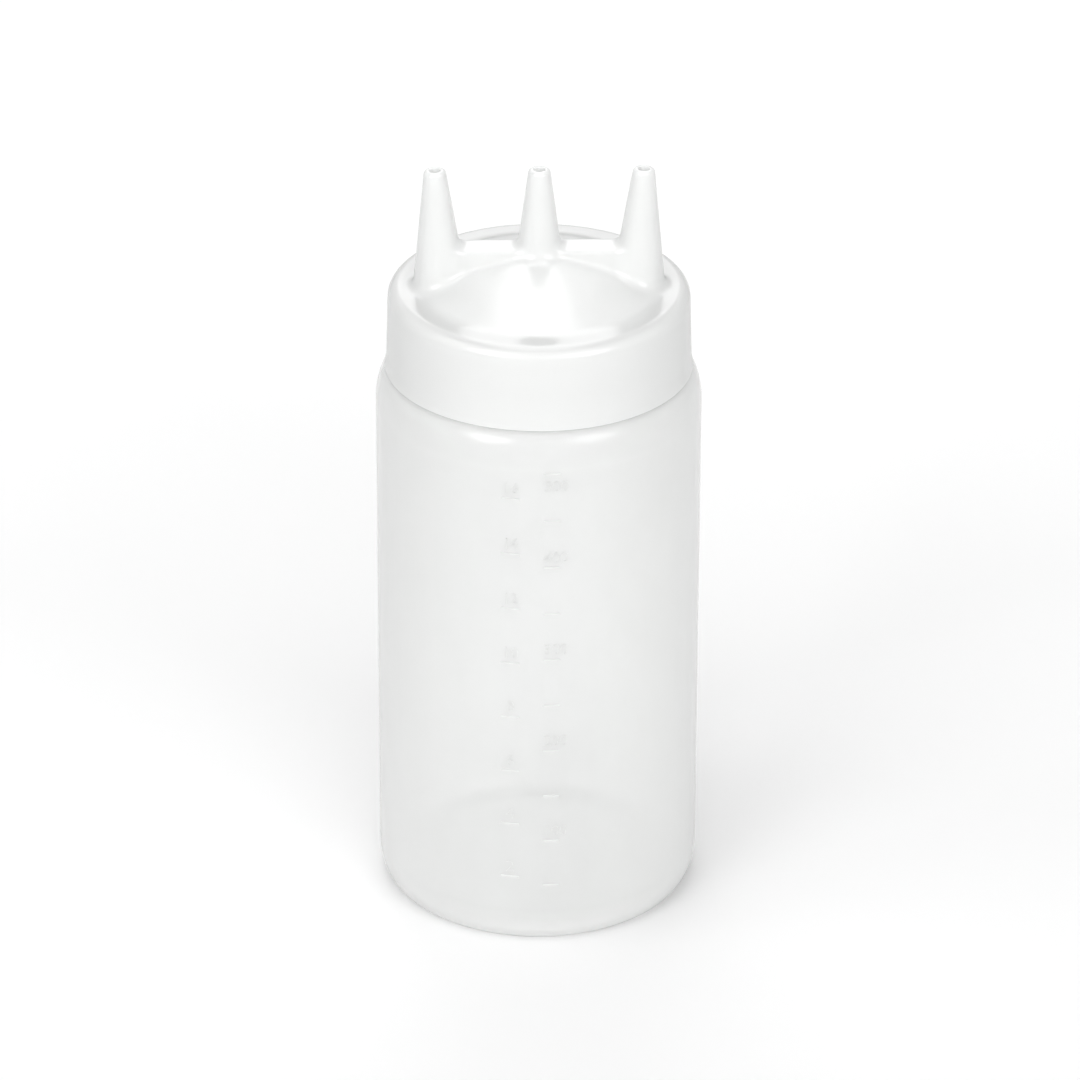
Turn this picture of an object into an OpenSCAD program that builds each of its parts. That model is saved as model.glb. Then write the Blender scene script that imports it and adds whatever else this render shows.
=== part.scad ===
// Wide mouth squeeze bottle for sauces, with a screw cap that carries three cone nozzles in a row.
// The origin is the middle of the ring that the bottle stands on. +Z is up, the nozzles lie along X,
// and the front, with the graduations, faces -Y. All lengths are in millimetres.

/* [Bottle body] */
// Outer radius of the straight wall
body_r = 37.5; // [34.5:0.5:45]
// Height of the ledge round the foot of the neck
ledge_z = 133; // [100:0.5:170]
// Wall of the body, the shoulder and the ledge
body_wall = 1; // [0.6:0.1:1.6]
// Wall of the base
base_wall = 1.2; // [0.8:0.1:2.4]
// Height of the rounded heel
heel_h = 9; // [5:0.5:14]
// How far the heel comes in
heel_in = 4; // [2.5:0.25:6]
// Width of the flat ring that the bottle stands on
foot_w = 2.5; // [1.5:0.25:4]
// Rise of the hollow under the base, in its middle
push_up = 6.4; // [2:0.2:9]
// Height of the rounded shoulder, below the ledge
shoulder_h = 8.5; // [6:0.25:9]
// How far the shoulder comes in, up to the ledge
shoulder_in = 3.6; // [2.6:0.1:4]

/* [Neck and thread] */
// Outer radius of the neck, at the root of its thread
neck_r = 31.2; // [30:0.1:32]
// Height of the neck above the ledge
neck_h = 17.4; // [16:0.2:24]
// Wall of the neck
neck_wall = 1.5; // [1:0.1:2]
// Radius of the fillet between the ledge and the neck
neck_fillet = 0.8; // [0.3:0.1:1]
// Chamfer on the rim of the neck
rim_chamfer = 0.4; // [0.2:0.1:0.6]
// Rise of the thread in one turn
thread_lead = 6.35; // [6:0.05:8]
// How far the neck's thread stands out
thread_depth = 1.2; // [0.8:0.1:1.4]
// Width of a thread ridge where it stands on its wall
thread_root_w = 3; // [2.2:0.1:3]
// Width of a thread ridge at its crest
thread_crest_w = 1.4; // [0.8:0.1:1.6]
// Turns of the thread on the neck
neck_turns = 1.5; // [1:0.25:1.5]
// Height of the lower end of the neck's thread above the ledge
thread_start = 5.6; // [5.6:0.1:6]
// Turns of the thread in the cap
cap_turns = 1.25; // [0.75:0.25:1.25]
// How far the cap's thread stands into its bore
cap_thread_depth = 1.1; // [0.8:0.1:1.1]

/* [Graduations] */
// Volume between two ticks of the metric scale, in cubic centimetres
metric_step = 50; // [25:25:100]
// Volume between two ticks of the ounce scale, in cubic centimetres
ounce_step = 59.147; // [29.5735:29.5735:118.294]
// How far a tick stands out of the wall
tick_out = 0.25; // [0.15:0.05:0.5]
// Height of a tick
tick_h = 0.9; // [0.5:0.1:1.5]
// Distance from the middle of the front to the near end of a metric tick
metric_from = 0.2; // [0.1:0.1:4]
// Length of a metric tick
metric_len = 3.7; // [2:0.1:6]
// Distance from the middle of the front to the near end of an ounce tick
ounce_from = 5.4; // [4:0.1:7]
// Length of an ounce tick
ounce_len = 4.2; // [2:0.1:6]

/* [Cap skirt and roof] */
// Wall of the cap's skirt, above its flare
skirt_wall = 1.75; // [1.4:0.05:2.2]
// Draft of the skirt, from the roof down to the flare
skirt_draft = 0.35; // [0.1:0.05:0.6]
// How far the flare at the rim stands out
flare_out = 0.6; // [0.3:0.05:1]
// Height of the flare
flare_h = 4; // [3:0.5:7]
// Thickness of the flat roof
roof_t = 1.6; // [1.2:0.1:2.4]
// Radius of the edge between the roof and the skirt
roof_round = 3.1; // [2:0.1:3.2]
// Radius at which the crown rises out of the flat roof
crown_r = 27.2; // [26.8:0.1:27.6]
// Rise of the crown above the flat roof
crown_rise = 9.4; // [8:0.1:9.4]
// Bulge of the crown's side over a straight cone
crown_bulge = 0.9; // [0:0.1:1.2]
// Length of the fillet at the crown's foot
crown_fillet = 1.6; // [0.8:0.1:2]

/* [Nozzles and the bar that joins them] */
// Distance from one nozzle's axis to the next, at the flat roof
nozzle_pitch = 22.6; // [21:0.1:22.6]
// Outward lean of the two side nozzles, in degrees
nozzle_splay = 2.2; // [0:0.2:4]
// Height of the nozzle tips above the flat roof
nozzle_h = 28.8; // [24:0.2:36]
// Outer radius of a nozzle at its tip
tip_r = 2.45; // [2.1:0.05:3]
// Outer radius of a nozzle at the flat roof
foot_r = 6.2; // [5.6:0.1:6.2]
// Radius of the hole in a nozzle's tip
orifice_r = 1.2; // [0.8:0.05:1.4]
// Wall of a nozzle at its foot
nozzle_wall = 1.4; // [1:0.1:1.8]
// Width of the bar
bar_w = 7; // [6:0.1:8]
// Rise of the bar above the flat roof
bar_rise = 9.9; // [9.6:0.1:11]
// Radius of the bar's long upper edges
bar_round = 0.9; // [0.3:0.1:1.4]
// Wall of the bar round the channel inside it
bar_wall = 1.4; // [1:0.1:1.8]

/* [Seal] */
// Thickness of the seal ring
seal_t = 1.2; // [0.8:0.1:2]
// Height of the lip in the cap that locates the seal ring and plugs the neck
plug_h = 3; // [2.6:0.1:4]
// Wall of that lip
plug_wall = 1.2; // [0.8:0.1:1.3]

/* [Clearances] */
// Gap between the ledge and the cap's rim
rim_gap = 0.3; // [0.2:0.05:0.6]
// Gap between a thread's crest on the neck and the cap's bore
bore_clear = 0.5; // [0.3:0.05:0.7]
// Gap between the loaded flanks of the two threads
flank_clear = 0.35; // [0.25:0.05:0.5]
// Gap between the plug lip and the neck's bore
plug_clear = 0.5; // [0.3:0.05:0.8]
// Gap between the plug lip and the seal ring
seal_clear = 0.3; // [0.2:0.05:0.4]
// Gap between the seal ring and the cap's bore
seal_edge_clear = 0.7; // [0.4:0.1:1]

/* [Hidden] */

body_colour = [0.87, 0.89, 0.87, 0.8];
cap_colour = [0.95, 0.95, 0.93];
seal_colour = [0.8, 0.8, 0.78];
$fn = 96;
arc_steps = 8;
dome_steps = 10;
thread_steps = 36;
thread_taper = 30;
fillet_steps = 4;
// How deep a ridge's root lies in its wall
root_sink = 0.4;
// Angle at which the cap's ridge starts, with the cap screwed down
cap_thread_from = -30;
// Radius of the upper edges of the channel in the bar
channel_round = 0.4;
// Least step from the plug lip in to the crown's hollow
lip_step = 0.5;
cut_over = 1;

heel_r = body_r - heel_in;
dome_r = heel_r - foot_w;
inner_r = body_r - body_wall;
shoulder_z = ledge_z - shoulder_h;
ledge_r = body_r - shoulder_in;
neck_top = ledge_z + neck_h;
mouth_r = neck_r - neck_wall;
crest_r = neck_r + thread_depth;

bore_r = crest_r + bore_clear;
skirt_r = bore_r + skirt_wall;
cap_bottom = ledge_z + rim_gap;
roof_under = neck_top + seal_t;
roof_z = roof_under + roof_t;
plug_r = mouth_r - plug_clear;
crown_z = roof_z + crown_rise;
deck_z = roof_z + bar_rise;
tip_z = roof_z + nozzle_h;

// The metric and ounce ticks stand where the bottle really holds those volumes. The base's hollow and
// the rounded heel take up volume, so each scale starts from a raised zero.
bore_area = PI * inner_r * inner_r;
dome_volume = PI * push_up * (3 * dome_r * dome_r + push_up * push_up) / 6;
heel_volume = 2 * PI * inner_r * (1 - PI / 4) * (heel_in - body_wall) * (heel_h - body_wall);
scale_zero = base_wall + (dome_volume + heel_volume) / bore_area;
metric_pitch = metric_step * 1000 / bore_area;
ounce_pitch = ounce_step * 1000 / bore_area;
scale_margin = 0.6;
scale_room = shoulder_z - scale_margin - scale_zero;

// Points of an elliptical arc about (cx, cz), from angle a0 to angle a1
function arc(cx, cz, rx, rz, a0, a1, steps) =
    [for (i = [0:steps]) let (a = a0 + (a1 - a0) * i / steps) [cx + rx * cos(a), cz + rz * sin(a)]];

// Height of the hollow under the base at radius r, on a circle through its middle and its edge
dome_sphere = (dome_r * dome_r + push_up * push_up) / (2 * push_up);
function dome(r, lift) = push_up - dome_sphere + sqrt(dome_sphere * dome_sphere - r * r) + lift;
function dome_line(from_r, lift) =
    [for (i = [0:dome_steps]) let (r = from_r * i / dome_steps) [r, dome(r, lift)]];
function reversed(list) = [for (i = [len(list) - 1:-1:0]) list[i]];

function body_outside() = concat(
    dome_line(dome_r, 0),
    arc(heel_r, heel_h, heel_in, heel_h, -90, 0, arc_steps),
    arc(ledge_r, shoulder_z, shoulder_in, shoulder_h, 0, 90, arc_steps),
    arc(neck_r + neck_fillet, ledge_z + neck_fillet, neck_fillet, neck_fillet, -90, -180, fillet_steps),
    [[neck_r, neck_top - rim_chamfer], [neck_r - rim_chamfer, neck_top]]);

function body_inside() = concat(
    [[mouth_r, neck_top], [mouth_r, ledge_z - body_wall + neck_fillet]],
    [[mouth_r + neck_fillet, ledge_z - body_wall]],
    reversed(arc(ledge_r, shoulder_z, shoulder_in - body_wall, shoulder_h - body_wall, 0, 90,
        arc_steps)),
    reversed(arc(heel_r, heel_h, heel_in - body_wall, heel_h - base_wall, -90, 0, arc_steps)),
    reversed(dome_line(dome_r, base_wall)));

// One helical ridge. Its root lies sunk in the wall at root_r, its crest is at crest, and its ends run
// out over thread_taper degrees. z0 is its middle height at angle zero.
module ridge(root_r, crest, z0, from_angle, turns) {
    side = sign(crest - root_r);
    buried = root_r - side * root_sink;
    steps = ceil(turns * thread_steps);
    span = turns * 360;
    end_r = root_r - side * root_sink / 2;
    function ring(a) = let (
        f = max(0, min(1, a / thread_taper, (span - a) / thread_taper)),
        top = end_r + (crest - end_r) * f,
        z = z0 + thread_lead * (from_angle + a) / 360,
        at = from_angle + a,
        sunk = (thread_root_w - thread_crest_w) / 2 * root_sink / abs(crest - root_r),
        low = thread_root_w / 2 + sunk,
        high = thread_crest_w / 2,
        section = [[buried, z - low], [top, z - high], [top, z + high], [buried, z + low]])
        [for (p = section) [p[0] * cos(at), p[0] * sin(at), p[1]]];
    points = [for (i = [0:steps]) each ring(span * i / steps)];
    flip = side < 0;
    walls = [for (i = [0:steps - 1], k = [0:3]) let (
        a = 4 * i + k,
        b = 4 * i + (k + 1) % 4,
        c = b + 4,
        d = a + 4) each [[a, b, c], [a, c, d]]];
    last = 4 * steps;
    ends = [[0, 3, 2], [0, 2, 1], [last, last + 1, last + 2], [last, last + 2, last + 3]];
    faces = concat(walls, ends);
    polyhedron(points = points, faces = flip ? [for (f = faces) [f[0], f[2], f[1]]] : faces);
}

// A raised mark on the front wall. from_x and to_x are measured along the wall from its middle.
module tick(from_x, to_x, z) {
    degrees = 180 / (PI * body_r);
    translate([0, 0, z - tick_h / 2])
        rotate([0, 0, from_x * degrees - 90])
            rotate_extrude(angle = (to_x - from_x) * degrees)
                translate([body_r - body_wall / 2, 0])
                    square([body_wall / 2 + tick_out, tick_h]);
}

module bottle_body() {
    color(body_colour) union() {
        rotate_extrude()
            polygon(concat(body_outside(), body_inside()));
        ridge(neck_r, crest_r, ledge_z + thread_start, 0, neck_turns);
        for (i = [1:floor(scale_room / metric_pitch)])
            tick(metric_from, metric_from + metric_len, scale_zero + i * metric_pitch);
        for (i = [1:floor(scale_room / ounce_pitch)])
            tick(-ounce_from - ounce_len, -ounce_from, scale_zero + i * ounce_pitch);
    }
}

// The crown's side from its foot to its middle, let down by drop
function crown_point(t, foot, drop) = [
    foot * (1 - t) + 4 * crown_bulge * t * (1 - t) * sin(atan(crown_rise / crown_r)),
    roof_z - drop + crown_rise * t + 4 * crown_bulge * t * (1 - t) * cos(atan(crown_rise / crown_r))];
function crown_line(foot, drop, from_t) =
    [for (i = [0:dome_steps]) crown_point(from_t + (1 - from_t) * i / dome_steps, foot, drop)];
function bend(a, b, c, steps) =
    [for (i = [0:steps - 1]) let (t = i / steps) a * (1 - t) * (1 - t) + b * 2 * t * (1 - t) + c * t * t];

// The seal's seat runs from the plug lip to the bore, so the crown's hollow starts inside the lip
hollow_r = min(crown_r - roof_t / 2, plug_r - plug_wall - lip_step);

module cap_outside() {
    fillet_t = crown_fillet / crown_r;
    flare_z = cap_bottom + flare_h;
    flare_r = skirt_r + skirt_draft;
    rotate_extrude()
        polygon(concat(
            [[0, cap_bottom]],
            arc(flare_r + flare_out, flare_z, flare_out, flare_h, -90, -180, arc_steps),
            arc(skirt_r - roof_round, roof_z - roof_round, roof_round, roof_round, 0, 90, arc_steps),
            bend([crown_r + crown_fillet, roof_z], [crown_r, roof_z],
                crown_point(fillet_t, crown_r, 0), fillet_steps),
            crown_line(crown_r, 0, fillet_t)));
}

module cap_hollow() {
    rotate_extrude()
        polygon(concat(
            [[0, cap_bottom - cut_over], [bore_r, cap_bottom - cut_over], [bore_r, roof_under]],
            crown_line(hollow_r, roof_t, 0)));
}

// One nozzle's outer form, from inside the roof up to its rounded lip
module nozzle_form() {
    slope = (foot_r - tip_r) / nozzle_h;
    lip = (tip_r - orifice_r) / 2;
    sink = roof_t / 2;
    rotate_extrude()
        polygon(concat(
            [[0, -sink], [foot_r + sink * slope, -sink]],
            arc(tip_r - lip, nozzle_h - lip, lip, lip, 0, 90, arc_steps),
            [[0, nozzle_h]]));
}

module nozzle_bore() {
    foot_bore = foot_r - nozzle_wall;
    slope = (foot_bore - orifice_r) / nozzle_h;
    below = roof_t + cut_over / 2;
    above = cut_over;
    translate([0, 0, -below])
        cylinder(h = below + nozzle_h + above, r1 = foot_bore + below * slope,
            r2 = orifice_r - above * slope);
}

// The three nozzle places, each with its lean
module at_nozzles() {
    for (side = [-1, 0, 1])
        translate([side * nozzle_pitch, 0, roof_z])
            rotate([0, side * nozzle_splay, 0])
                children();
}

// A bar along X through the nozzles, with its long upper edges rounded
module bar(width, top, edge) {
    rotate([90, 0, 90])
        translate([0, 0, -nozzle_pitch])
            linear_extrude(2 * nozzle_pitch)
                polygon(concat(
                    [[-width / 2, roof_z - roof_t / 2], [width / 2, roof_z - roof_t / 2]],
                    arc(width / 2 - edge, top - edge, edge, edge, 0, 90, arc_steps),
                    arc(edge - width / 2, top - edge, edge, edge, 90, 180, arc_steps)));
}

// A lip that goes into the neck's mouth and holds the seal ring from inside
module plug_lip() {
    rotate_extrude()
        polygon([
            [plug_r - plug_wall, roof_under - plug_h],
            [plug_r - rim_chamfer, roof_under - plug_h],
            [plug_r, roof_under - plug_h + rim_chamfer],
            [plug_r, roof_under + roof_t / 2],
            [plug_r - plug_wall, roof_under + roof_t / 2]]);
}

// The cap's ridge runs below the neck's, so that screwing down draws the cap onto the seal
module cap_ridge() {
    mid_r = (crest_r + bore_r - cap_thread_depth) / 2;
    flank = (thread_root_w - thread_crest_w) / 2;
    neck_half = thread_root_w / 2 - flank * (mid_r - neck_r) / thread_depth;
    cap_half = thread_root_w / 2 - flank * (bore_r - mid_r) / cap_thread_depth;
    below = neck_half + cap_half + flank_clear;
    ridge(bore_r, bore_r - cap_thread_depth, ledge_z + thread_start - below, cap_thread_from, cap_turns);
}

module nozzle_cap() {
    color(cap_colour) union() {
        difference() {
            union() {
                cap_outside();
                bar(bar_w, deck_z, bar_round);
                at_nozzles() nozzle_form();
            }
            cap_hollow();
            bar(bar_w - 2 * bar_wall, deck_z - bar_wall, channel_round);
            at_nozzles() nozzle_bore();
        }
        plug_lip();
        cap_ridge();
    }
}

module seal_ring() {
    inside = plug_r + seal_clear;
    outside = bore_r - seal_edge_clear;
    color(seal_colour)
        rotate_extrude()
            translate([inside, neck_top])
                square([outside - inside, seal_t]);
}

bottle_body();
nozzle_cap();
seal_ring();
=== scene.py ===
# A wide mouth squeeze bottle with a three nozzle screw cap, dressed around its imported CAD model.
import math

import bmesh
import bpy
import numpy as np
from mathutils import Matrix, Vector


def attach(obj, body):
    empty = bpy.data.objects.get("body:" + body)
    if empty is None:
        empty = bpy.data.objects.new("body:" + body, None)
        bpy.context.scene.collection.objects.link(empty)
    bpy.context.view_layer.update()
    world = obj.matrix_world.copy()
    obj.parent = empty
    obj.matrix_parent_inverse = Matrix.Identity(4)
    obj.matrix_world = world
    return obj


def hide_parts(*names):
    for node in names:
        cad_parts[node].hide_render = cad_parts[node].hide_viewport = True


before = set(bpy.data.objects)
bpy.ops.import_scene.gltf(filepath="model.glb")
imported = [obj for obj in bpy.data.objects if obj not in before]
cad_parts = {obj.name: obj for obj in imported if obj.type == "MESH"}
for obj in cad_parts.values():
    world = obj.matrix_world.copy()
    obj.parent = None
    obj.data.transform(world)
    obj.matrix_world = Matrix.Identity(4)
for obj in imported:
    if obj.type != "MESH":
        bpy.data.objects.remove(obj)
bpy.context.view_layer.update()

# Shapes are worked out in millimetres, and each mesh is made in metres
MM = 0.001

# The camera, found from the photograph's silhouettes
PHOTO_SIDE_PX = 1080
FOCAL_PX = 6756
SENSOR_MM = 36
CAMERA_DISTANCE = 1573.1 * MM
CAMERA_ELEVATION = math.radians(27.81)
CAMERA_AZIMUTH = math.radians(-1.65)
CAMERA_ROLL = math.radians(0.17)
LOOK_HEIGHT = 87.1 * MM
LOOK_RIGHT = 0.38 * MM

# The bottle's body, as in the CAD source
BODY_R = 37.5
BODY_WALL = 1.0
BASE_WALL = 1.2
HEEL_H = 9.0
HEEL_IN = 4.0
FOOT_W = 2.5
PUSH_UP = 6.4
LEDGE_Z = 133.0
SHOULDER_H = 8.5
SHOULDER_IN = 3.6
HEEL_R = BODY_R - HEEL_IN
DOME_R = HEEL_R - FOOT_W
SHOULDER_Z = LEDGE_Z - SHOULDER_H
LEDGE_R = BODY_R - SHOULDER_IN

# Its neck
NECK_R = 31.2
NECK_H = 17.4
NECK_WALL = 1.5
NECK_FILLET = 0.8
RIM_CHAMFER = 0.4
NECK_TOP = LEDGE_Z + NECK_H
MOUTH_R = NECK_R - NECK_WALL

# The threads. The neck's starts at a height over the ledge, and angles are in degrees
THREAD_LEAD = 6.35
THREAD_ROOT_W = 3.0
THREAD_CREST_W = 1.4
THREAD_FLANK = (THREAD_ROOT_W - THREAD_CREST_W) / 2
THREAD_TAPER = 30.0
NECK_THREAD_DEPTH = 1.2
NECK_TURNS = 1.5
NECK_THREAD_START = 5.6
CAP_THREAD_DEPTH = 1.1
CAP_TURNS = 1.25
CAP_THREAD_FROM = -30.0
FLANK_CLEAR = 0.35
CREST_R = NECK_R + NECK_THREAD_DEPTH

# The scale of 50 ml bars and of 2 fluid ounce bars. Places along the wall are from the middle of the front
SCALE_ZERO = 3.823
METRIC_PITCH = 11.946
METRIC_COUNT = 10
METRIC_FROM = 0.2
METRIC_LEN = 3.7
OUNCE_PITCH = 14.132
OUNCE_COUNT = 8
OUNCE_FROM = 5.4
OUNCE_LEN = 4.2
BAR_H = 0.9
BAR_OUT = 0.22
BAR_SINK = 0.4
BAR_BEND_POINTS = 9
BAR_FOOT_SHARE = 1.15
BAR_DRAFT_SHARE = 0.45
NUMBER_H = 2.7
NUMBER_OUT = 0.14
NUMBER_GAP = 1.1
NUMBER_HALF_DEPTH = 0.3
DIGIT_SHARE = 0.7
HUNDREDS_HALF_W = 1.05 * NUMBER_H

# The seal
SEAL_T = 1.2
SEAL_IN_R = 29.5
SEAL_OUT_R = 32.2
SEAL_EDGE = 0.3

# The cap's skirt and roof
BORE_R = 32.9
BORE_CHAMFER = 0.5
SKIRT_R = 34.65
SKIRT_DRAFT = 0.35
FLARE_OUT = 0.6
FLARE_H = 4.0
CAP_BOTTOM = 133.3
ROOF_T = 1.6
ROOF_ROUND = 3.1
FLARE_R = SKIRT_R + SKIRT_DRAFT
ROOF_UNDER = NECK_TOP + SEAL_T
ROOF_Z = ROOF_UNDER + ROOF_T

# Its crown and the lip that plugs the neck
CROWN_R = 27.2
CROWN_RISE = 9.4
CROWN_BULGE = 0.9
CROWN_FILLET = 1.6
HOLLOW_R = 26.4
PLUG_R = 29.2
PLUG_WALL = 1.2
PLUG_H = 3.0

# Its bar and nozzles
NOZZLE_PITCH = 22.6
NOZZLE_SPLAY = 2.2
NOZZLE_H = 28.8
NOZZLE_WALL = 1.4
TIP_R = 2.45
FOOT_R = 6.2
ORIFICE_R = 1.2
BORE_DROP = 2.5
TIP_ROUND = 0.8 * (TIP_R - ORIFICE_R)
BAR_W = 7.0
BAR_RISE = 9.9
BAR_ROUND = 0.9
BAR_WALL = 1.4
CHANNEL_ROUND = 0.4
DECK_Z = ROOF_Z + BAR_RISE

# Widths of the fillets where the cap's forms meet, and how far the thread's field is flattened
BAR_FILLET = 1.3
NOZZLE_FILLET = 2.2
CHANNEL_FILLET = 0.6
BORE_FILLET = 0.8
EDGE_FILLET = 0.35
LIP_FILLET = 0.3
THREAD_FILLET = 0.25
RIDGE_SLOPE = 0.8

# How fine the meshes are, and how close in metres two points are one
MERGE = 1e-6
BOTTLE_SEGMENTS = 240
CAP_SEGMENTS = 216
SEAL_SEGMENTS = 180
WALL_STEP = 4
NECK_RINGS = 68

# The studio, in metres. SKY is the world's light on dull surfaces, and FLOOR_LIFT what the eye's white gains
SKY = 0.2
FLOOR_LIFT = 0.2
FLOOR_WHITE = 0.78
FLOOR_HALF = 4.0
# The way the floor's painted shadow is cast from, and how far from the bottle it reaches
PAINTED_SHADOW_WAY = (-0.85, -0.25, 0.45)
PAINTED_SHADOW_REACH = 0.3
CAP_SPOT = (0, 0, 0.15)


def make_camera():
    """The photograph's view, from the front and above, through a long lens."""
    data = bpy.data.cameras.new("photo_camera")
    data.sensor_width = SENSOR_MM
    data.lens = FOCAL_PX / PHOTO_SIDE_PX * SENSOR_MM
    camera = bpy.data.objects.new("photo_camera", data)
    bpy.context.scene.collection.objects.link(camera)
    round_bottle = Matrix.Rotation(CAMERA_AZIMUTH, 4, "Z")
    back = round_bottle @ Vector((0, -math.cos(CAMERA_ELEVATION), math.sin(CAMERA_ELEVATION)))
    target = Vector((0, 0, LOOK_HEIGHT)) + round_bottle @ Vector((LOOK_RIGHT, 0, 0))
    place = target + back * CAMERA_DISTANCE
    turn = (target - place).to_track_quat("-Z", "Y").to_matrix().to_4x4()
    camera.matrix_world = Matrix.Translation(place) @ turn @ Matrix.Rotation(CAMERA_ROLL, 4, "Z")
    bpy.context.scene.camera = camera


# Outlines and meshes

def arc(cx, cz, rx, rz, from_deg, to_deg, steps):
    """A part of an ellipse in the plane of radius and height."""
    turn = np.radians(np.linspace(from_deg, to_deg, steps + 1))
    return np.column_stack([cx + rx * np.cos(turn), cz + rz * np.sin(turn)])


def joined(*parts):
    """One line from several, each of them a point or a row of points."""
    return np.vstack([np.atleast_2d(np.array(p, float)) for p in parts])


def spaced(line, step):
    """The line, with points added where two lie over step apart."""
    out = [line[:1]]
    for a, b in zip(line, line[1:]):
        n = max(1, math.ceil(np.linalg.norm(b - a) / step))
        out.append(a + (b - a) * (np.arange(1, n + 1) / n)[:, None])
    return np.vstack(out)


def make_piece(name, points, faces, material, body, replaced):
    """A smooth shaded piece from points in millimetres, riding on its CAD body in place of a CAD node."""
    mesh = bpy.data.meshes.new(name)
    mesh.from_pydata((np.asarray(points) * MM).tolist(), [], faces)
    mesh.polygons.foreach_set("use_smooth", np.ones(len(mesh.polygons), bool))
    mesh.materials.append(material)
    mesh.update()
    piece = bpy.data.objects.new(name, mesh)
    bpy.context.scene.collection.objects.link(piece)
    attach(piece, body)
    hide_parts(replaced)


def turned(profile, segments, swell=None):
    """Points and faces of a profile turned round Z. It may start and end on the axis, or be a closed loop.
    swell gives what is added to a ring's radius at each angle."""
    angle = np.linspace(0, 2 * math.pi, segments, endpoint=False)
    on_axis = profile[0][0] < 1e-6
    rings = profile[1:-1] if on_axis else profile
    radius = np.repeat(rings[:, :1], segments, 1)
    if swell is not None:
        radius = radius + swell(rings, angle)
    height = np.repeat(rings[:, 1:], segments, 1)
    points = np.stack([radius * np.cos(angle), radius * np.sin(angle), height], -1).reshape(-1, 3)
    count = len(rings)
    loops = count - 1 if on_axis else count
    i = np.arange(loops)[:, None] * segments
    next_i = (np.arange(loops)[:, None] + 1) % count * segments
    j = np.arange(segments)[None, :]
    k = (j + 1) % segments
    faces = np.stack([i + j, i + k, next_i + k, next_i + j], -1).reshape(-1, 4).tolist()
    if on_axis:
        start, end = len(points), len(points) + 1
        points = np.vstack([points, [[0, 0, profile[0][1]], [0, 0, profile[-1][1]]]])
        last = (count - 1) * segments
        steps = list(zip(range(segments), [*range(1, segments), 0]))
        faces += [[start, b, a] for a, b in steps]
        faces += [[end, last + a, last + b] for a, b in steps]
    return points, faces


# The bottle

def ridge_height(angle_deg, z, first_z, from_deg, turns, depth):
    """How far a helical ridge stands out of its wall at an angle and height. It fades at both ends."""
    height = np.full(np.broadcast(angle_deg, z).shape, -1.0)
    for lap in range(-1, 3):
        along = angle_deg + 360 * lap - from_deg
        fade = np.clip(np.minimum(along, turns * 360 - along) / THREAD_TAPER, 0, 1)
        off = np.abs(z - first_z - THREAD_LEAD * (angle_deg + 360 * lap) / 360)
        rise = np.clip((THREAD_ROOT_W / 2 - off) / THREAD_FLANK, -1, 1)
        crest = np.where(rise > 0, depth * np.sqrt(fade), 1) * rise
        height = np.maximum(height, np.where(fade > 0, crest, -1.0))
    return height


def dome_line(lift):
    """The base's hollow, a part of a sphere, from the axis outwards."""
    sphere_r = (DOME_R ** 2 + PUSH_UP ** 2) / (2 * PUSH_UP)
    r = np.linspace(0, DOME_R, 20)
    return np.column_stack([r, PUSH_UP - sphere_r + np.sqrt(sphere_r ** 2 - r ** 2) + lift])


def make_bottle(material):
    outside = spaced(joined(
        dome_line(0),
        arc(HEEL_R, HEEL_H, HEEL_IN, HEEL_H, -90, 0, 20),
        arc(LEDGE_R, SHOULDER_Z, SHOULDER_IN, SHOULDER_H, 0, 90, 24),
        arc(NECK_R + NECK_FILLET, LEDGE_Z + NECK_FILLET, NECK_FILLET, NECK_FILLET, -90, -180, 6)), WALL_STEP)
    neck_z = np.linspace(LEDGE_Z + NECK_FILLET, NECK_TOP - RIM_CHAMFER, NECK_RINGS)
    neck = np.column_stack([np.full(NECK_RINGS, NECK_R), neck_z])
    rim_z = NECK_TOP - RIM_CHAMFER
    inside = spaced(joined(
        arc(NECK_R - RIM_CHAMFER, rim_z, RIM_CHAMFER, RIM_CHAMFER, 0, 90, 4),
        arc(MOUTH_R + RIM_CHAMFER, rim_z, RIM_CHAMFER, RIM_CHAMFER, 90, 180, 4),
        [MOUTH_R, LEDGE_Z - BODY_WALL + NECK_FILLET],
        [MOUTH_R + NECK_FILLET, LEDGE_Z - BODY_WALL],
        arc(LEDGE_R, SHOULDER_Z, SHOULDER_IN - BODY_WALL, SHOULDER_H - BODY_WALL, 90, 0, 16),
        arc(HEEL_R, HEEL_H, HEEL_IN - BODY_WALL, HEEL_H - BASE_WALL, 0, -90, 14),
        dome_line(BASE_WALL)[::-1]), WALL_STEP)
    profile = joined(outside, neck[1:], inside[1:])
    on_neck = np.zeros(len(profile), bool)
    on_neck[len(outside):len(outside) + len(neck) - 2] = True

    def thread(rings, angle):
        start_z = LEDGE_Z + NECK_THREAD_START
        across = np.degrees(angle)[None, :]
        rise = ridge_height(across, rings[:, 1:], start_z, 0, NECK_TURNS, NECK_THREAD_DEPTH)
        return np.where(on_neck[1:-1, None], np.maximum(rise, 0), 0)

    points, faces = turned(profile, BOTTLE_SEGMENTS, thread)
    make_piece("squeeze_bottle", points, faces, material, "bottle", "bottle_body")


# The scale on the front wall, its numbers, and helpers for nodes

def add(tree, kind, **values):
    node = tree.nodes.new(kind)
    for key, value in values.items():
        setattr(node, key, value)
    return node


def calc(tree, a, b, operation="ADD"):
    """What a Math node makes of two sockets or numbers."""
    node = add(tree, "ShaderNodeMath", operation=operation)
    for end, value in zip(node.inputs, (a, b)):
        if isinstance(value, (int, float)):
            end.default_value = value
        else:
            tree.links.new(value, end)
    return node.outputs[0]


def vector_of(tree, x=None, y=None, z=None):
    """A vector from up to three sockets. Parts that are left out are zero."""
    node = add(tree, "ShaderNodeCombineXYZ")
    for end, value in zip(node.inputs, (x, y, z)):
        if value is not None:
            tree.links.new(value, end)
    return node.outputs[0]


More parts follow.
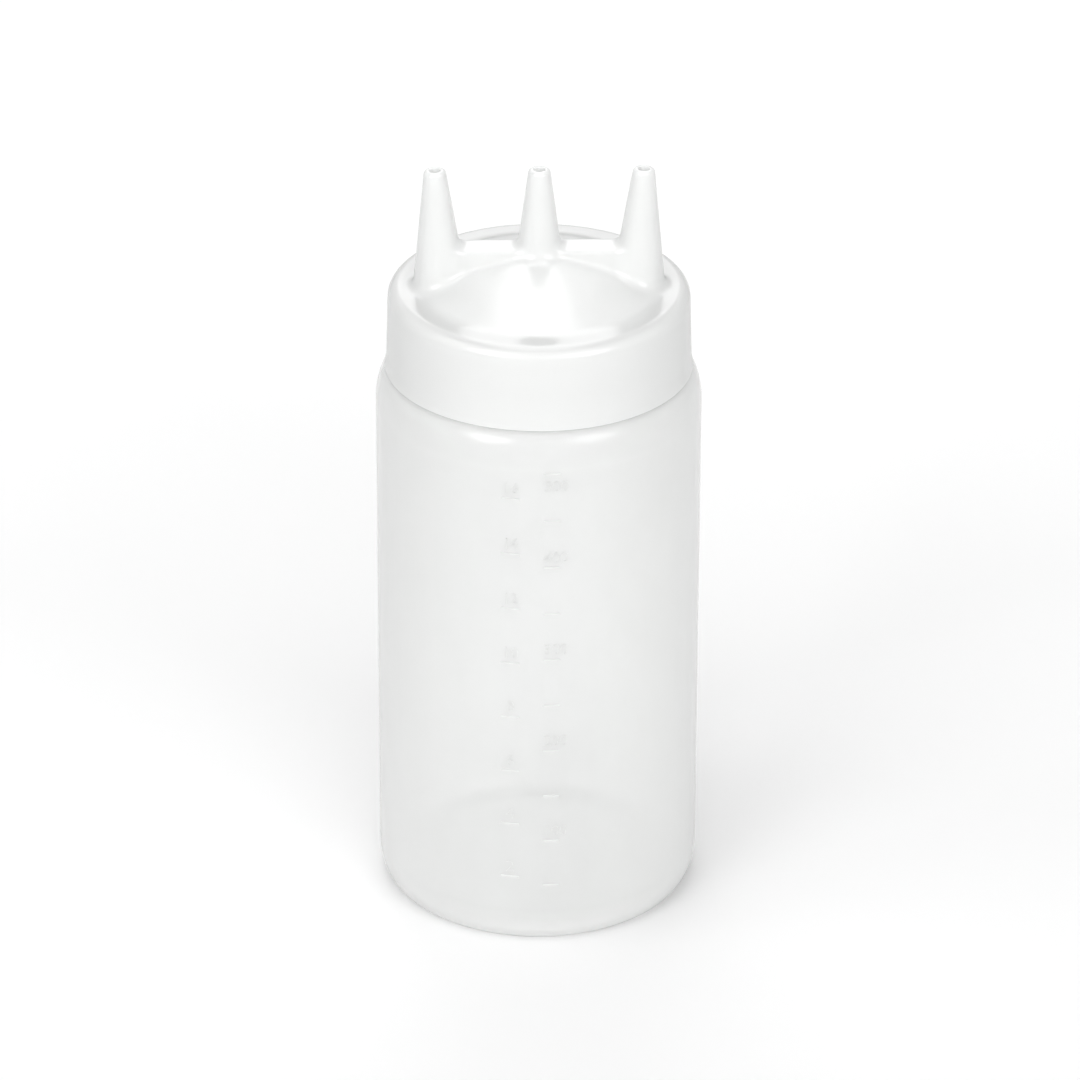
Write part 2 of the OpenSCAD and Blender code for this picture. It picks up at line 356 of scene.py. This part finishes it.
def scale_bar_tree(material):
    """A column of raised bars on the wall, one for each step of volume. Each is a box bent round the wall,
    with its outer face narrower, so that it leaves the mould."""
    tree = bpy.data.node_groups.new("scale_bars", "GeometryNodeTree")
    tree.interface.new_socket("Geometry", in_out="OUTPUT", socket_type="NodeSocketGeometry")
    tree.interface.new_socket("Count", in_out="INPUT", socket_type="NodeSocketInt")
    for name in ("First height", "Pitch", "From", "Length", "Bar height", "Wall radius", "Rise", "Sink"):
        tree.interface.new_socket(name, in_out="INPUT", socket_type="NodeSocketFloat")
    size = add(tree, "NodeGroupInput").outputs
    link = tree.links.new
    deep = calc(tree, size["Rise"], size["Sink"])
    box = add(tree, "GeometryNodeMeshCube")
    link(vector_of(tree, size["Length"], deep, size["Bar height"]), box.inputs["Size"])
    box.inputs["Vertices X"].default_value = BAR_BEND_POINTS

    part = add(tree, "ShaderNodeSeparateXYZ")
    link(add(tree, "GeometryNodeInputPosition").outputs[0], part.inputs[0])
    half_length = calc(tree, size["Length"], 0.5, "MULTIPLY")
    along = calc(tree, calc(tree, part.outputs[0], half_length), size["From"])
    turn = calc(tree, along, size["Wall radius"], "DIVIDE")
    outward = calc(tree, calc(tree, deep, 0.5, "MULTIPLY"), part.outputs[1], "SUBTRACT")
    radius = calc(tree, calc(tree, size["Wall radius"], size["Sink"], "SUBTRACT"), outward)
    drawn_in = calc(tree, calc(tree, outward, deep, "DIVIDE"), BAR_DRAFT_SHARE, "MULTIPLY")
    draft = calc(tree, BAR_FOOT_SHARE, drawn_in, "SUBTRACT")
    towards_front = calc(tree, radius, calc(tree, turn, 0, "COSINE"), "MULTIPLY")
    spot = vector_of(
        tree,
        calc(tree, radius, calc(tree, turn, 0, "SINE"), "MULTIPLY"),
        calc(tree, towards_front, -1, "MULTIPLY"),
        calc(tree, part.outputs[2], draft, "MULTIPLY"))
    bent = add(tree, "GeometryNodeSetPosition")
    link(box.outputs["Mesh"], bent.inputs["Geometry"])
    link(spot, bent.inputs["Position"])

    column = add(tree, "GeometryNodeMeshLine")
    link(size["Count"], column.inputs["Count"])
    link(vector_of(tree, z=size["First height"]), column.inputs["Start Location"])
    link(vector_of(tree, z=size["Pitch"]), column.inputs["Offset"])
    bars = add(tree, "GeometryNodeInstanceOnPoints")
    link(column.outputs[0], bars.inputs["Points"])
    link(bent.outputs[0], bars.inputs["Instance"])
    whole = add(tree, "GeometryNodeRealizeInstances")
    link(bars.outputs[0], whole.inputs[0])
    finish = add(tree, "GeometryNodeSetMaterial")
    link(whole.outputs[0], finish.inputs["Geometry"])
    finish.inputs["Material"].default_value = material
    link(finish.outputs[0], add(tree, "NodeGroupOutput").inputs[0])
    return tree


def plain_mesh(host):
    """The mesh that a host object comes to, with the host taken away."""
    bpy.context.scene.collection.objects.link(host)
    mesh = bpy.data.meshes.new_from_object(host.evaluated_get(bpy.context.evaluated_depsgraph_get()))
    bpy.data.objects.remove(host)
    return mesh


def finish_marks(name, meshes, material):
    """One piece on the bottle from several meshes in metres."""
    shell = bmesh.new()
    for mesh in meshes:
        shell.from_mesh(mesh)
        bpy.data.meshes.remove(mesh)
    bmesh.ops.remove_doubles(shell, verts=shell.verts, dist=MERGE)
    bmesh.ops.recalc_face_normals(shell, faces=shell.faces)
    whole = bpy.data.meshes.new(name)
    shell.to_mesh(whole)
    shell.free()
    whole.materials.clear()
    whole.materials.append(material)
    piece = bpy.data.objects.new(name, whole)
    bpy.context.scene.collection.objects.link(piece)
    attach(piece, "bottle")


def bar_column(tree, count, pitch, start, length):
    """The mesh of one column of bars. Sizes are in millimetres."""
    sizes = {
        "First height": SCALE_ZERO + pitch, "Pitch": pitch, "From": start, "Length": length,
        "Bar height": BAR_H, "Wall radius": BODY_R, "Rise": BAR_OUT, "Sink": BAR_SINK}
    host = bpy.data.objects.new("scale_host", bpy.data.meshes.new("scale_host"))
    bars = host.modifiers.new("bars", "NODES")
    bars.node_group = tree
    for item in tree.interface.items_tree:
        if item.in_out == "INPUT":
            bars[item.identifier] = count if item.name == "Count" else sizes[item.name] * MM
    return plain_mesh(host)


def make_scale(material):
    tree = scale_bar_tree(material)
    metric = bar_column(tree, METRIC_COUNT, METRIC_PITCH, METRIC_FROM, METRIC_LEN)
    ounce = bar_column(tree, OUNCE_COUNT, OUNCE_PITCH, -OUNCE_FROM - OUNCE_LEN, OUNCE_LEN)
    finish_marks("scale_bars", [metric, ounce], material)


def number_on_wall(words, along, height):
    """The mesh of a raised number, bent round the wall, its foot at a height over the scale's zero."""
    text = bpy.data.curves.new("number", "FONT")
    text.body = words
    text.align_x = "CENTER"
    text.resolution_u = 3
    text.size = NUMBER_H / DIGIT_SHARE
    text.extrude = NUMBER_HALF_DEPTH
    mesh = plain_mesh(bpy.data.objects.new("number", text))
    flat = np.array([v.co for v in mesh.vertices])
    turn = (flat[:, 0] + along) / BODY_R
    radius = BODY_R + NUMBER_OUT - NUMBER_HALF_DEPTH + flat[:, 2]
    up = flat[:, 1] + SCALE_ZERO + height
    spot = np.column_stack([radius * np.sin(turn), -radius * np.cos(turn), up])
    mesh.vertices.foreach_set("co", (spot * MM).ravel())
    return mesh


def make_numbers(material):
    """The plain numbers of the scale. Each stands over its bar, but the top metric one under it."""
    over = BAR_H / 2 + NUMBER_GAP
    under = -over - NUMBER_H
    hundreds = METRIC_COUNT // 2
    meshes = []
    for i in range(1, hundreds + 1):
        height = 2 * i * METRIC_PITCH + (under if i == hundreds else over)
        meshes.append(number_on_wall(str(100 * i), METRIC_FROM + HUNDREDS_HALF_W, height))
    for i in range(1, OUNCE_COUNT + 1):
        meshes.append(number_on_wall(str(2 * i), -OUNCE_FROM - OUNCE_LEN / 2, i * OUNCE_PITCH + over))
    finish_marks("scale_numbers", meshes, material)


# The cap, as a field that is negative in the plastic, meshed where it crosses zero

def outline_distance(outline, a, b):
    """Distance from (a, b) to a closed outline, negative inside. Edges on the axis a = 0 don't count."""
    shape = a.shape
    a, b = a.ravel(), b.ravel()
    nearest = np.full(a.shape, 1e9)
    inside = np.zeros(a.shape, bool)
    for (x0, y0), (x1, y1) in zip(outline, np.roll(outline, -1, 0)):
        crosses = (y0 > b) != (y1 > b)
        if y0 != y1:
            inside ^= crosses & (a < x0 + (b - y0) * (x1 - x0) / (y1 - y0))
        if x0 <= 1e-6 and x1 <= 1e-6:
            continue
        dx, dy = x1 - x0, y1 - y0
        t = np.clip(((a - x0) * dx + (b - y0) * dy) / max(dx * dx + dy * dy, 1e-12), 0, 1)
        nearest = np.minimum(nearest, (a - x0 - t * dx) ** 2 + (b - y0 - t * dy) ** 2)
    nearest = np.sqrt(nearest)
    return np.where(inside, -nearest, nearest).reshape(shape)


def blend_union(a, b, width):
    """Union of two fields, with a fillet about as wide as width where they meet."""
    near = np.maximum(width - np.abs(a - b), 0) / width
    return np.minimum(a, b) - near * near * width / 4


def blend_cut(a, b, width):
    """Field a where b is outside it, with its new edge rounded."""
    return -blend_union(-a, b, width)


def crown_line(foot, drop, from_t=0.0):
    """The crown's slope from its foot to its peak, slightly bulged."""
    t = np.linspace(from_t, 1, 24)
    lean = math.atan(CROWN_RISE / CROWN_R)
    bulge = 4 * CROWN_BULGE * t * (1 - t)
    height = ROOF_Z - drop + CROWN_RISE * t + bulge * math.cos(lean)
    return np.column_stack([foot * (1 - t) + bulge * math.sin(lean), height])


def bend(a, b, c, steps=8):
    """A curve from a towards c that leaves and arrives along the lines to b."""
    t = (np.arange(steps) / steps)[:, None]
    a, b, c = (np.array(p, float) for p in (a, b, c))
    return a * (1 - t) ** 2 + b * 2 * t * (1 - t) + c * t * t


def cap_outline():
    """The cap's round outside, without its bar and nozzles."""
    after_fillet = CROWN_FILLET / CROWN_R
    slope = crown_line(CROWN_R, 0, after_fillet)
    return joined(
        [0, CAP_BOTTOM],
        arc(FLARE_R + FLARE_OUT, CAP_BOTTOM + FLARE_H, FLARE_OUT, FLARE_H, -90, -180, 10),
        arc(SKIRT_R - ROOF_ROUND, ROOF_Z - ROOF_ROUND, ROOF_ROUND, ROOF_ROUND, 0, 90, 14),
        bend([CROWN_R + CROWN_FILLET, ROOF_Z], [CROWN_R, ROOF_Z], slope[0]),
        slope)


def hollow_outline():
    """The bore and the crown's hollow. It starts below the skirt, to leave the bore open."""
    below = CAP_BOTTOM - 3
    return joined(
        [0, below],
        [BORE_R + BORE_CHAMFER, below],
        [BORE_R + BORE_CHAMFER, CAP_BOTTOM],
        [BORE_R, CAP_BOTTOM + BORE_CHAMFER],
        [BORE_R, ROOF_UNDER],
        crown_line(HOLLOW_R, ROOF_T))


def lip_outline():
    """The ring under the roof that plugs the mouth."""
    bottom = ROOF_UNDER - PLUG_H
    in_roof = ROOF_UNDER + ROOF_T / 2
    return joined(
        [PLUG_R - PLUG_WALL, bottom],
        [PLUG_R - RIM_CHAMFER, bottom],
        [PLUG_R, bottom + RIM_CHAMFER],
        [PLUG_R, in_roof],
        [PLUG_R - PLUG_WALL, in_roof])


def half_ridge(root_r, depth, r):
    """Half the width of a ridge at a radius, for one of this depth on a wall of root_r."""
    return THREAD_ROOT_W / 2 - THREAD_FLANK * abs(r - root_r) / depth


CAP_OUTLINES = cap_outline(), hollow_outline(), lip_outline()
RIDGES_MEET_R = (CREST_R + BORE_R - CAP_THREAD_DEPTH) / 2
CAP_THREAD_Z = LEDGE_Z + NECK_THREAD_START - (
    half_ridge(NECK_R, NECK_THREAD_DEPTH, RIDGES_MEET_R)
    + half_ridge(BORE_R, CAP_THREAD_DEPTH, RIDGES_MEET_R) + FLANK_CLEAR)


def bar_field(x, y, z, width, top, edge):
    """A bar along X through the nozzles, its long upper edges rounded."""
    over_y = np.abs(y) - width / 2 + edge
    over_z = z - top + edge
    outside = np.hypot(np.maximum(over_y, 0), np.maximum(over_z, 0))
    section = outside + np.minimum(np.maximum(over_y, over_z), 0) - edge
    return np.maximum(section, np.abs(x) - NOZZLE_PITCH)


def cone_field(across, y, up, foot_r, tip_r):
    """A cone about its own axis, without ends."""
    slope = (foot_r - tip_r) / NOZZLE_H
    return (np.hypot(across, y) - foot_r + slope * up) * math.cos(math.atan(slope))


def nozzle_fields(x, y, z):
    """The three nozzles' outsides and their bores. The outer two lean outwards."""
    outsides, bores = [], []
    for side in (-1, 0, 1):
        lean = math.radians(side * NOZZLE_SPLAY)
        u = x - side * NOZZLE_PITCH
        w = z - ROOF_Z
        across = math.cos(lean) * u - math.sin(lean) * w
        up = math.sin(lean) * u + math.cos(lean) * w
        cone = cone_field(across, y, up, FOOT_R, TIP_R)
        outsides.append(blend_cut(cone, NOZZLE_H - up, TIP_ROUND))
        bore = cone_field(across, y, up, FOOT_R - NOZZLE_WALL, ORIFICE_R)
        bores.append(np.maximum(bore, -up - BORE_DROP))
    return outsides, bores


def cap_field(x, y, z, turned_fields=None):
    """Negative in the cap's plastic. turned_fields are those of the round outlines, where known already."""
    r = np.hypot(x, y)
    if turned_fields is None:
        turned_fields = [outline_distance(o, r, z) for o in CAP_OUTLINES]
    shell, hollow, lip = turned_fields
    nozzles, bores = nozzle_fields(x, y, z)
    solid = blend_union(shell, bar_field(x, y, z, BAR_W, DECK_Z, BAR_ROUND), BAR_FILLET)
    for nozzle in nozzles:
        solid = blend_union(solid, nozzle, NOZZLE_FILLET)
    channel = bar_field(x, y, z, BAR_W - 2 * BAR_WALL, DECK_Z - BAR_WALL, CHANNEL_ROUND)
    space = blend_union(hollow, channel, CHANNEL_FILLET)
    for bore in bores:
        space = blend_union(space, bore, BORE_FILLET)
    plastic = blend_union(blend_cut(solid, space, EDGE_FILLET), lip, LIP_FILLET)
    angle = np.degrees(np.arctan2(y, x))
    rise = ridge_height(angle, z, CAP_THREAD_Z, CAP_THREAD_FROM, CAP_TURNS, CAP_THREAD_DEPTH)
    # On the ridge's flanks this grows faster than distance does, so it is flattened
    ridge = np.maximum(BORE_R - rise - r, r - BORE_R - BORE_CHAMFER) * RIDGE_SLOPE
    return blend_union(plastic, ridge, THREAD_FILLET)


def steps_between(start, *stretches):
    """Grid lines over stretches that follow each other, each an end and the step up to it."""
    lines = [start]
    for end, step in stretches:
        n = max(1, round((end - lines[-1]) / step))
        lines.extend((lines[-1] + (end - lines[-1]) * np.arange(1, n + 1) / n).tolist())
    return np.array(lines)


def crossing_points(field, r, angle, z):
    """One point in each crossed cell of a round grid, and each cell's point number, or -1."""
    nr, nt, nz = field.shape
    around = np.concatenate([field, field[:, :1]], 1)
    offset = [(i, j, k) for i in (0, 1) for j in (0, 1) for k in (0, 1)]
    corners = np.stack([around[i:nr - 1 + i, j:nt + j, k:nz - 1 + k] for i, j, k in offset])
    below = corners < 0
    crossed = below.any(0) & ~below.all(0)
    number = np.full(crossed.shape, -1)
    number[crossed] = np.arange(crossed.sum())
    ci, cj, ck = np.nonzero(crossed)
    values = corners[:, ci, cj, ck]
    total = np.zeros((3, len(ci)))
    count = np.zeros(len(ci))
    for a in range(8):
        for b in range(a + 1, 8):
            if sum(abs(p - q) for p, q in zip(offset[a], offset[b])) != 1:
                continue
            cut = (values[a] < 0) != (values[b] < 0)
            t = np.where(cut, values[a] / np.where(cut, values[a] - values[b], 1), 0)
            for axis in range(3):
                step = offset[a][axis] + t * (offset[b][axis] - offset[a][axis])
                total[axis] += np.where(cut, step, 0)
            count += cut
    total /= count
    at_r = r[ci] + total[0] * (r[ci + 1] - r[ci])
    at_z = z[ck] + total[2] * (z[ck + 1] - z[ck])
    at_angle = angle[cj] + total[1] * (2 * math.pi / nt)
    return np.column_stack([at_r * np.cos(at_angle), at_r * np.sin(at_angle), at_z]), number


def crossing_faces(field, number):
    """A four sided face round each grid edge that the surface crosses."""
    nr, _, nz = field.shape
    inside = field < 0
    faces = []
    for axis in range(3):
        if axis == 0:
            i, j, k = np.nonzero(inside[:-1] != inside[1:])
            ok = (k > 0) & (k < nz - 1)
        elif axis == 1:
            i, j, k = np.nonzero(inside != np.roll(inside, -1, 1))
            ok = (i > 0) & (i < nr - 1) & (k > 0) & (k < nz - 1)
        else:
            i, j, k = np.nonzero(inside[:, :, :-1] != inside[:, :, 1:])
            ok = (i > 0) & (i < nr - 1)
        i, j, k = i[ok], j[ok], k[ok]
        if axis == 0:
            quad = number[i, j - 1, k - 1], number[i, j, k - 1], number[i, j, k], number[i, j - 1, k]
        elif axis == 1:
            quad = number[i - 1, j, k - 1], number[i - 1, j, k], number[i, j, k], number[i, j, k - 1]
        else:
            quad = number[i - 1, j - 1, k], number[i, j - 1, k], number[i, j, k], number[i - 1, j, k]
        quad = np.stack(quad, -1)
        flip = ~inside[i, j, k]
        quad[flip] = quad[flip][:, ::-1]
        faces.append(quad)
    return np.vstack(faces)


def settle(points, field, rounds):
    """Moves points along the field's slope onto its zero surface, by about furthest at most in each round."""
    probe = 0.02
    least_slope = 0.5
    furthest = 0.4
    for _ in range(rounds):
        x, y, z = points.T
        value = field(x, y, z)
        slope = np.column_stack([
            field(x + probe, y, z) - field(x - probe, y, z),
            field(x, y + probe, z) - field(x, y - probe, z),
            field(x, y, z + probe) - field(x, y, z - probe)]) / (2 * probe)
        size = np.maximum((slope ** 2).sum(1), least_slope ** 2)
        points = points - np.clip(value / size, -furthest, furthest)[:, None] * slope
    return points


def relax(points, faces, share):
    """Draws each point towards the middle of its neighbours."""
    total, count = np.zeros_like(points), np.zeros(len(points))
    for a in range(4):
        for b in ((a + 1) % 4, (a + 3) % 4):
            np.add.at(total, faces[:, a], points[faces[:, b]])
            np.add.at(count, faces[:, a], 1)
    return points + share * (total / count[:, None] - points)


def make_cap(material):
    """The grid is finer at the skirt, its rim, the roof and the nozzles' tips."""
    r = steps_between(
        0, (1.0, 0.5), (3.2, 0.35), (20.4, 0.62), (27.4, 0.42), (33.4, 0.36), (36.2, 0.28))
    tip = ROOF_Z + NOZZLE_H
    z = steps_between(
        CAP_BOTTOM - 0.6, (CAP_BOTTOM + 0.8, 0.2), (LEDGE_Z + 13, 0.5), (ROOF_Z + 0.6, 0.34),
        (DECK_Z + 0.5, 0.45), (tip - 2, 0.75), (tip + 0.8, 0.24))
    angle = np.arange(CAP_SEGMENTS) * 2 * math.pi / CAP_SEGMENTS
    rz = np.meshgrid(r, z, indexing="ij")
    turned_fields = [outline_distance(o, *rz)[:, None, :] for o in CAP_OUTLINES]
    rr, aa, zz = np.meshgrid(r, angle, z, indexing="ij")
    field = cap_field(rr * np.cos(aa), rr * np.sin(aa), zz, turned_fields)
    points, number = crossing_points(field, r, angle, z)
    faces = crossing_faces(field, number)
    points = settle(points, cap_field, 2)
    for _ in range(2):
        points = settle(relax(points, faces, 0.5), cap_field, 1)
    make_piece("nozzle_cap_moulding", points, faces.tolist(), material, "cap", "nozzle_cap")


def make_seal(material):
    """The flat foam ring, its edges rounded."""
    inner, outer = SEAL_IN_R + SEAL_EDGE, SEAL_OUT_R - SEAL_EDGE
    low, high = NECK_TOP + SEAL_EDGE, NECK_TOP + SEAL_T - SEAL_EDGE
    profile = joined(
        arc(inner, low, SEAL_EDGE, SEAL_EDGE, 180, 270, 4),
        arc(outer, low, SEAL_EDGE, SEAL_EDGE, 270, 360, 4),
        arc(outer, high, SEAL_EDGE, SEAL_EDGE, 0, 90, 4),
        arc(inner, high, SEAL_EDGE, SEAL_EDGE, 90, 180, 4))
    points, faces = turned(profile, SEAL_SEGMENTS)
    make_piece("foam_seal", points, faces, material, "seal", "seal_ring")


# Materials. Each noise has so many waves a metre along X, Y and Z, and heights are in millimetres

CLOUD_WAVES = (45, 45, 30)
PEEL_WAVES = (700, 700, 700)
STREAK_WAVES = (260, 260, 14)
GLOSS_WAVES = (130, 130, 90)
VEIL_WAVES = (35, 35, 20)
FOAM_WAVES = (300, 300, 300)
NOISE_LOW = 0.2
NOISE_HIGH = 0.8
POLYETHYLENE_IOR = 1.51
OPAQUE_FROM = 0.85
SEAM_HALF_W = 0.35
CELLS_A_METRE = 1600
CELL_DEPTH = 0.06


def new_material(name):
    material = bpy.data.materials.new(name)
    material.use_nodes = True
    tree = material.node_tree
    return material, tree, tree.nodes["Principled BSDF"]


def spread(tree, value, from_low, from_high, to_low, to_high, kind="LINEAR"):
    """A value's range turned into another, and held within it."""
    node = add(tree, "ShaderNodeMapRange", interpolation_type=kind)
    tree.links.new(value, node.inputs["Value"])
    node.inputs["From Min"].default_value = from_low
    node.inputs["From Max"].default_value = from_high
    node.inputs["To Min"].default_value = to_low
    node.inputs["To Max"].default_value = to_high
    return node.outputs["Result"]


def noise_on(tree, place, waves, detail, low, high):
    """Noise on the piece itself, from low to high."""
    lay = add(tree, "ShaderNodeMapping")
    lay.inputs["Scale"].default_value = waves
    noise = add(tree, "ShaderNodeTexNoise")
    noise.inputs["Scale"].default_value = 1
    noise.inputs["Detail"].default_value = detail
    tree.links.new(place, lay.inputs["Vector"])
    tree.links.new(lay.outputs[0], noise.inputs["Vector"])
    return spread(tree, noise.outputs["Fac"], NOISE_LOW, NOISE_HIGH, low, high)


def tint_between(tree, share, first, second):
    """A colour that goes from the first to the second with share."""
    mix = add(tree, "ShaderNodeMix", data_type="RGBA")
    mix.inputs["A"].default_value = (*first, 1)
    mix.inputs["B"].default_value = (*second, 1)
    tree.links.new(share, mix.inputs["Factor"])
    return next(o for o in mix.outputs if o.type == "RGBA")


def relief(tree, height, distance):
    """The bumps of a height, which is in units of distance."""
    bump = add(tree, "ShaderNodeBump")
    bump.inputs["Distance"].default_value = distance
    tree.links.new(height, bump.inputs["Height"])
    return bump.outputs[0]


def mixed(tree, share, first, second):
    """Two shaders mixed, with share of the second."""
    node = add(tree, "ShaderNodeMixShader")
    if isinstance(share, float):
        node.inputs[0].default_value = share
    else:
        tree.links.new(share, node.inputs[0])
    tree.links.new(first, node.inputs[1])
    tree.links.new(second, node.inputs[2])
    return node.outputs[0]


def mould_seam(tree, place, height):
    """The fine line that the mould's halves leave down both sides of a blown bottle, in the plane y = 0."""
    part = add(tree, "ShaderNodeSeparateXYZ")
    tree.links.new(place, part.inputs[0])
    off = calc(tree, part.outputs["Y"], 0, "ABSOLUTE")
    return spread(tree, off, 0, SEAM_HALF_W * MM, height, 0, "SMOOTHSTEP")


def natural_plastic(
        name, colour, thin_colour, roughness, coat_roughness, clear, through, peel, streak=0, seam=0):
    """Natural polyethylene, cloudy between two colours. Some light is scattered back, and the share through
    glows through. Face on, the share clear shows what is behind. peel, streak and seam are the heights of
    the mould's marks."""
    material, tree, plastic = new_material(name)
    link = tree.links.new
    place = add(tree, "ShaderNodeTexCoord").outputs["Object"]
    tint = tint_between(tree, noise_on(tree, place, CLOUD_WAVES, 4, 0, 1), colour, thin_colour)

    height = noise_on(tree, place, PEEL_WAVES, 2, 0, peel)
    if streak:
        height = calc(tree, height, noise_on(tree, place, STREAK_WAVES, 3, 0, streak))
    if seam:
        height = calc(tree, height, mould_seam(tree, place, seam))
    bumps = relief(tree, height, MM)

    # Rougher than about 0.27, the renderer's noise filter would leave pale patches
    rough = noise_on(tree, place, GLOSS_WAVES, 3, roughness - 0.05, roughness + 0.03)
    link(tint, plastic.inputs["Base Color"])
    link(rough, plastic.inputs["Roughness"])
    link(bumps, plastic.inputs["Normal"])
    link(bumps, plastic.inputs["Coat Normal"])
    plastic.inputs["IOR"].default_value = POLYETHYLENE_IOR
    # The gloss is full, to make up for what the glow and the clear share take of it
    plastic.inputs["Specular IOR Level"].default_value = 1
    plastic.inputs["Coat Weight"].default_value = 1
    plastic.inputs["Coat Roughness"].default_value = coat_roughness

    glow = add(tree, "ShaderNodeBsdfTranslucent")
    link(tint, glow.inputs["Color"])
    facing = add(tree, "ShaderNodeLayerWeight")
    facing.inputs["Blend"].default_value = 0.5
    open_share = spread(tree, facing.outputs["Facing"], 0, OPAQUE_FROM, clear, 0)
    veil = noise_on(tree, place, VEIL_WAVES, 2, 0.9, 1)
    body = mixed(tree, through, plastic.outputs[0], glow.outputs[0])
    behind = add(tree, "ShaderNodeBsdfTransparent").outputs[0]
    body = mixed(tree, calc(tree, open_share, veil, "MULTIPLY"), body, behind)
    link(body, tree.nodes["Material Output"].inputs["Surface"])
    return material


def closed_cell_foam(name):
    """The liner's polyethylene foam: dull, with fine cells that show as pits."""
    material, tree, foam = new_material(name)
    place = add(tree, "ShaderNodeTexCoord").outputs["Object"]
    cells = add(tree, "ShaderNodeTexVoronoi")
    cells.inputs["Scale"].default_value = CELLS_A_METRE
    tree.links.new(place, cells.inputs["Vector"])
    pit_depth_and_shade = cells.outputs["Distance"]
    # Darker towards each cell's middle, the floor of its pit: painted shade in the pits
    tint = tint_between(tree, pit_depth_and_shade, (0.86, 0.86, 0.84), (0.93, 0.93, 0.91))
    tree.links.new(tint, foam.inputs["Base Color"])
    tree.links.new(noise_on(tree, place, FOAM_WAVES, 2, 0.65, 0.8), foam.inputs["Roughness"])
    tree.links.new(relief(tree, pit_depth_and_shade, CELL_DEPTH * MM), foam.inputs["Normal"])
    return material


# The studio

def seen_directly(tree):
    """One for the eye and for reflections, and zero for light on its way to dull surfaces."""
    path = add(tree, "ShaderNodeLightPath")
    return calc(tree, path.outputs["Is Camera Ray"], path.outputs["Is Glossy Ray"], "MAXIMUM")


def make_floor():
    """A white sweep, its white lifted where it is seen, less in a painted shadow right of the bottle."""
    mesh = bpy.data.meshes.new("floor")
    s = FLOOR_HALF
    mesh.from_pydata([(-s, -s, 0), (s, -s, 0), (s, s, 0), (-s, s, 0)], [], [(0, 1, 2, 3)])
    floor = bpy.data.objects.new("floor", mesh)
    bpy.context.scene.collection.objects.link(floor)
    material, tree, plain = new_material("white_sweep")
    plain.inputs["Base Color"].default_value = (FLOOR_WHITE, FLOOR_WHITE, FLOOR_WHITE, 1)
    plain.inputs["Roughness"].default_value = 0.9
    plain.inputs["Specular IOR Level"].default_value = 0
    painted_shadow_from = add(tree, "ShaderNodeCombineXYZ")
    for end, value in zip(painted_shadow_from.inputs, PAINTED_SHADOW_WAY):
        end.default_value = value
    # Occlusion looked for towards the left cuts the lift back: a painted shadow right of the bottle
    outside_painted_shadow = add(tree, "ShaderNodeAmbientOcclusion", samples=8)
    outside_painted_shadow.inputs["Distance"].default_value = PAINTED_SHADOW_REACH
    tree.links.new(painted_shadow_from.outputs[0], outside_painted_shadow.inputs["Normal"])
    seen = calc(tree, seen_directly(tree), outside_painted_shadow.outputs["AO"], "MULTIPLY")
    lift = calc(tree, seen, FLOOR_LIFT, "MULTIPLY")
    plain.inputs["Emission Color"].default_value = (1, 1, 1, 1)
    tree.links.new(lift, plain.inputs["Emission Strength"])
    mesh.materials.append(material)


def aimed(name, light, place, aim):
    lamp = bpy.data.objects.new(name, light)
    bpy.context.scene.collection.objects.link(lamp)
    lamp.location = place
    lamp.rotation_euler = (Vector(aim) - Vector(place)).to_track_quat("-Z", "Y").to_euler()
    return lamp


def softbox(name, place, width, height, energy):
    """A flat lamp aimed at the cap, its sizes in metres."""
    light = bpy.data.lights.new(name, "AREA")
    light.shape = "RECTANGLE"
    light.size = width
    light.size_y = height
    light.energy = energy
    aimed(name, light, place, CAP_SPOT)


def far_lamp(name, azimuth, elevation, angle, strength, shines=True):
    """A large lamp so far off that it lights the whole floor evenly. One that doesn't shine leaves no
    highlight. Azimuth runs from the front to the right, and angle is how wide it looks, all in degrees."""
    light = bpy.data.lights.new(name, "SUN")
    light.angle = math.radians(angle)
    light.energy = strength
    a, e = math.radians(azimuth), math.radians(elevation)
    place = 2 * Vector((math.sin(a) * math.cos(e), -math.cos(a) * math.cos(e), math.sin(e)))
    aimed(name, light, place, (0, 0, 0)).visible_glossy = shines


def make_light():
    """A white world that lights dull surfaces only dimly, and the lamps. The two windows in front make the
    shoulder's highlights, and the lamps overhead the crown's fan."""
    world = bpy.data.worlds.new("studio")
    bpy.context.scene.world = world
    world.use_nodes = True
    tree = world.node_tree
    sky = tree.nodes["Background"]
    white = add(tree, "ShaderNodeBackground")
    for light, strength in ((sky, SKY), (white, 1)):
        light.inputs["Color"].default_value = (1, 1, 1, 1)
        light.inputs["Strength"].default_value = strength
    shown = mixed(tree, seen_directly(tree), sky.outputs[0], white.outputs[0])
    tree.links.new(shown, tree.nodes["World Output"].inputs["Surface"])
    far_lamp("left_window", -38, 27, 32, 0.9)
    far_lamp("right_window", 38, 27, 30, 0.72)
    far_lamp("left_fill", -76, 32, 30, 0.35, shines=False)
    far_lamp("low_front", 6, 19, 40, 1.55, shines=False)
    far_lamp("high_front", 0, 68, 40, 0.4, shines=False)
    far_lamp("back_window", 180, 35, 60, 0.27)
    softbox("overhead", (-0.01, 0.2, 1.2), 0.55, 0.9, 2.6)
    softbox("overhead_back", (-0.01, 0.85, 0.85), 0.52, 0.8, 1.6)
    bpy.context.scene.view_settings.view_transform = "Standard"


make_camera()
bottle_plastic = natural_plastic(
    "bottle_polyethylene", (0.925, 0.93, 0.925), (0.9, 0.905, 0.9), roughness=0.22, coat_roughness=0.13,
    clear=0.72, through=0.27, peel=0.006, streak=0.012, seam=0.05)
make_bottle(bottle_plastic)
make_scale(bottle_plastic)
make_numbers(bottle_plastic)
make_cap(natural_plastic(
    "cap_polyethylene", (0.95, 0.955, 0.95), (0.935, 0.94, 0.935), roughness=0.21, coat_roughness=0.19,
    clear=0.2, through=0.37, peel=0.004))
make_seal(closed_cell_foam("seal_polyethylene_foam"))
make_floor()
make_light()
